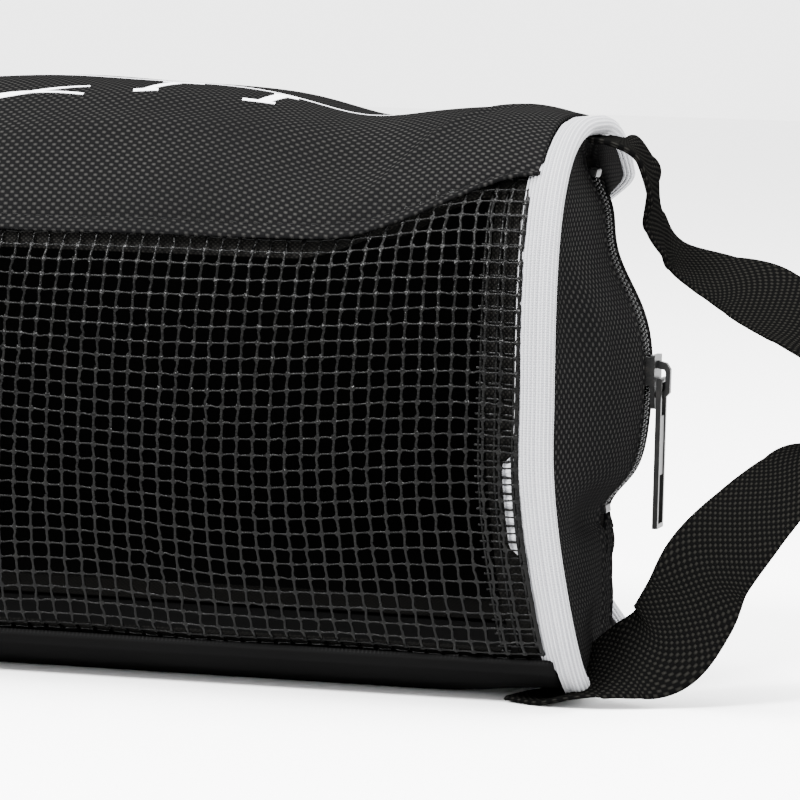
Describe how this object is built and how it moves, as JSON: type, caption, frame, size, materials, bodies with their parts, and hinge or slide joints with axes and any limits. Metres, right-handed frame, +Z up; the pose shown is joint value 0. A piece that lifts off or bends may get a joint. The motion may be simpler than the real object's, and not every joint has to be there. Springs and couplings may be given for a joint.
{
  "type": "shoe bag",
  "caption": "Long soft shoe bag with a mesh side, an arched nylon roof, white piped ends, a zip down one end with a hanging puller, and a webbing handle looped across that end.",
  "frame": {"origin": "centre of the flat face the bag rests on", "axes": "+X along the length towards the zip end, -Y is the mesh side, +Z up with the roof panel on top"},
  "size_m": [0.4445, 0.134, 0.175],
  "materials": {
    "ballistic_nylon": "coarse black woven nylon with a slight sheen",
    "base_nylon": "smooth black nylon",
    "coated_mesh": "open square mesh of coated black yarn",
    "stiffener": "plain plastic board",
    "white_piping": "ribbed white woven tape",
    "seam_tape": "plain black binding tape",
    "zip_tape": "black herringbone zip tape",
    "zip_coil": "black nylon coil",
    "zip_metal": "black enamel, slightly glossy",
    "webbing": "black polypropylene webbing"
  },
  "bodies": {
    "bag": {"top_panel": "ballistic_nylon", "bottom_panel": "base_nylon", "mesh_panel": "coated_mesh", "far_side_panel": "ballistic_nylon", "end_half_near": "ballistic_nylon", "end_half_far": "ballistic_nylon", "base_panel": "ballistic_nylon", "base_board": "stiffener", "zip_piping_cord": "white_piping", "zip_piping_flange": "white_piping", "base_piping_cord": "white_piping", "base_piping_flange": "white_piping", "zip_seam_binding": "seam_tape", "base_seam_binding": "seam_tape", "roof_binding_near": "seam_tape", "roof_binding_far": "seam_tape", "floor_binding_near": "seam_tape", "floor_binding_far": "seam_tape", "zip_tape_near": "zip_tape", "zip_tape_far": "zip_tape", "zip_coil_near": "zip_coil", "zip_coil_far": "zip_coil", "top_stop": "zip_metal", "bottom_stop": "zip_metal", "strap_anchor_top": "webbing", "strap_anchor_bottom": "webbing"},
    "slider": {"slider_body": "zip_metal"},
    "puller": {"slider_pull": "zip_metal"},
    "handle": {"handle_strap": "webbing"}
  },
  "joints": [
    {"name": "slider_travel", "type": "hinge", "parent": "bag", "child": "slider", "pos_m": [0.048, 0, 0.092], "axis": [0, 1, 0], "range_deg": [-22, 12]},
    {"name": "puller_swing", "type": "hinge", "parent": "slider", "child": "puller", "pos_m": [0.193, 0, 0.0925], "axis": [0, -1, 0], "range_deg": [0, 150], "deforming": ["handle_strap"]},
    {"name": "handle_swing", "type": "hinge", "parent": "bag", "child": "handle", "pos_m": [0.182, 0, 0.1604], "axis": [-0.0272, 0.0809, 0.9964], "range_deg": [-30, 30], "deforming": ["strap_anchor_top", "strap_anchor_bottom"]}
  ]
}
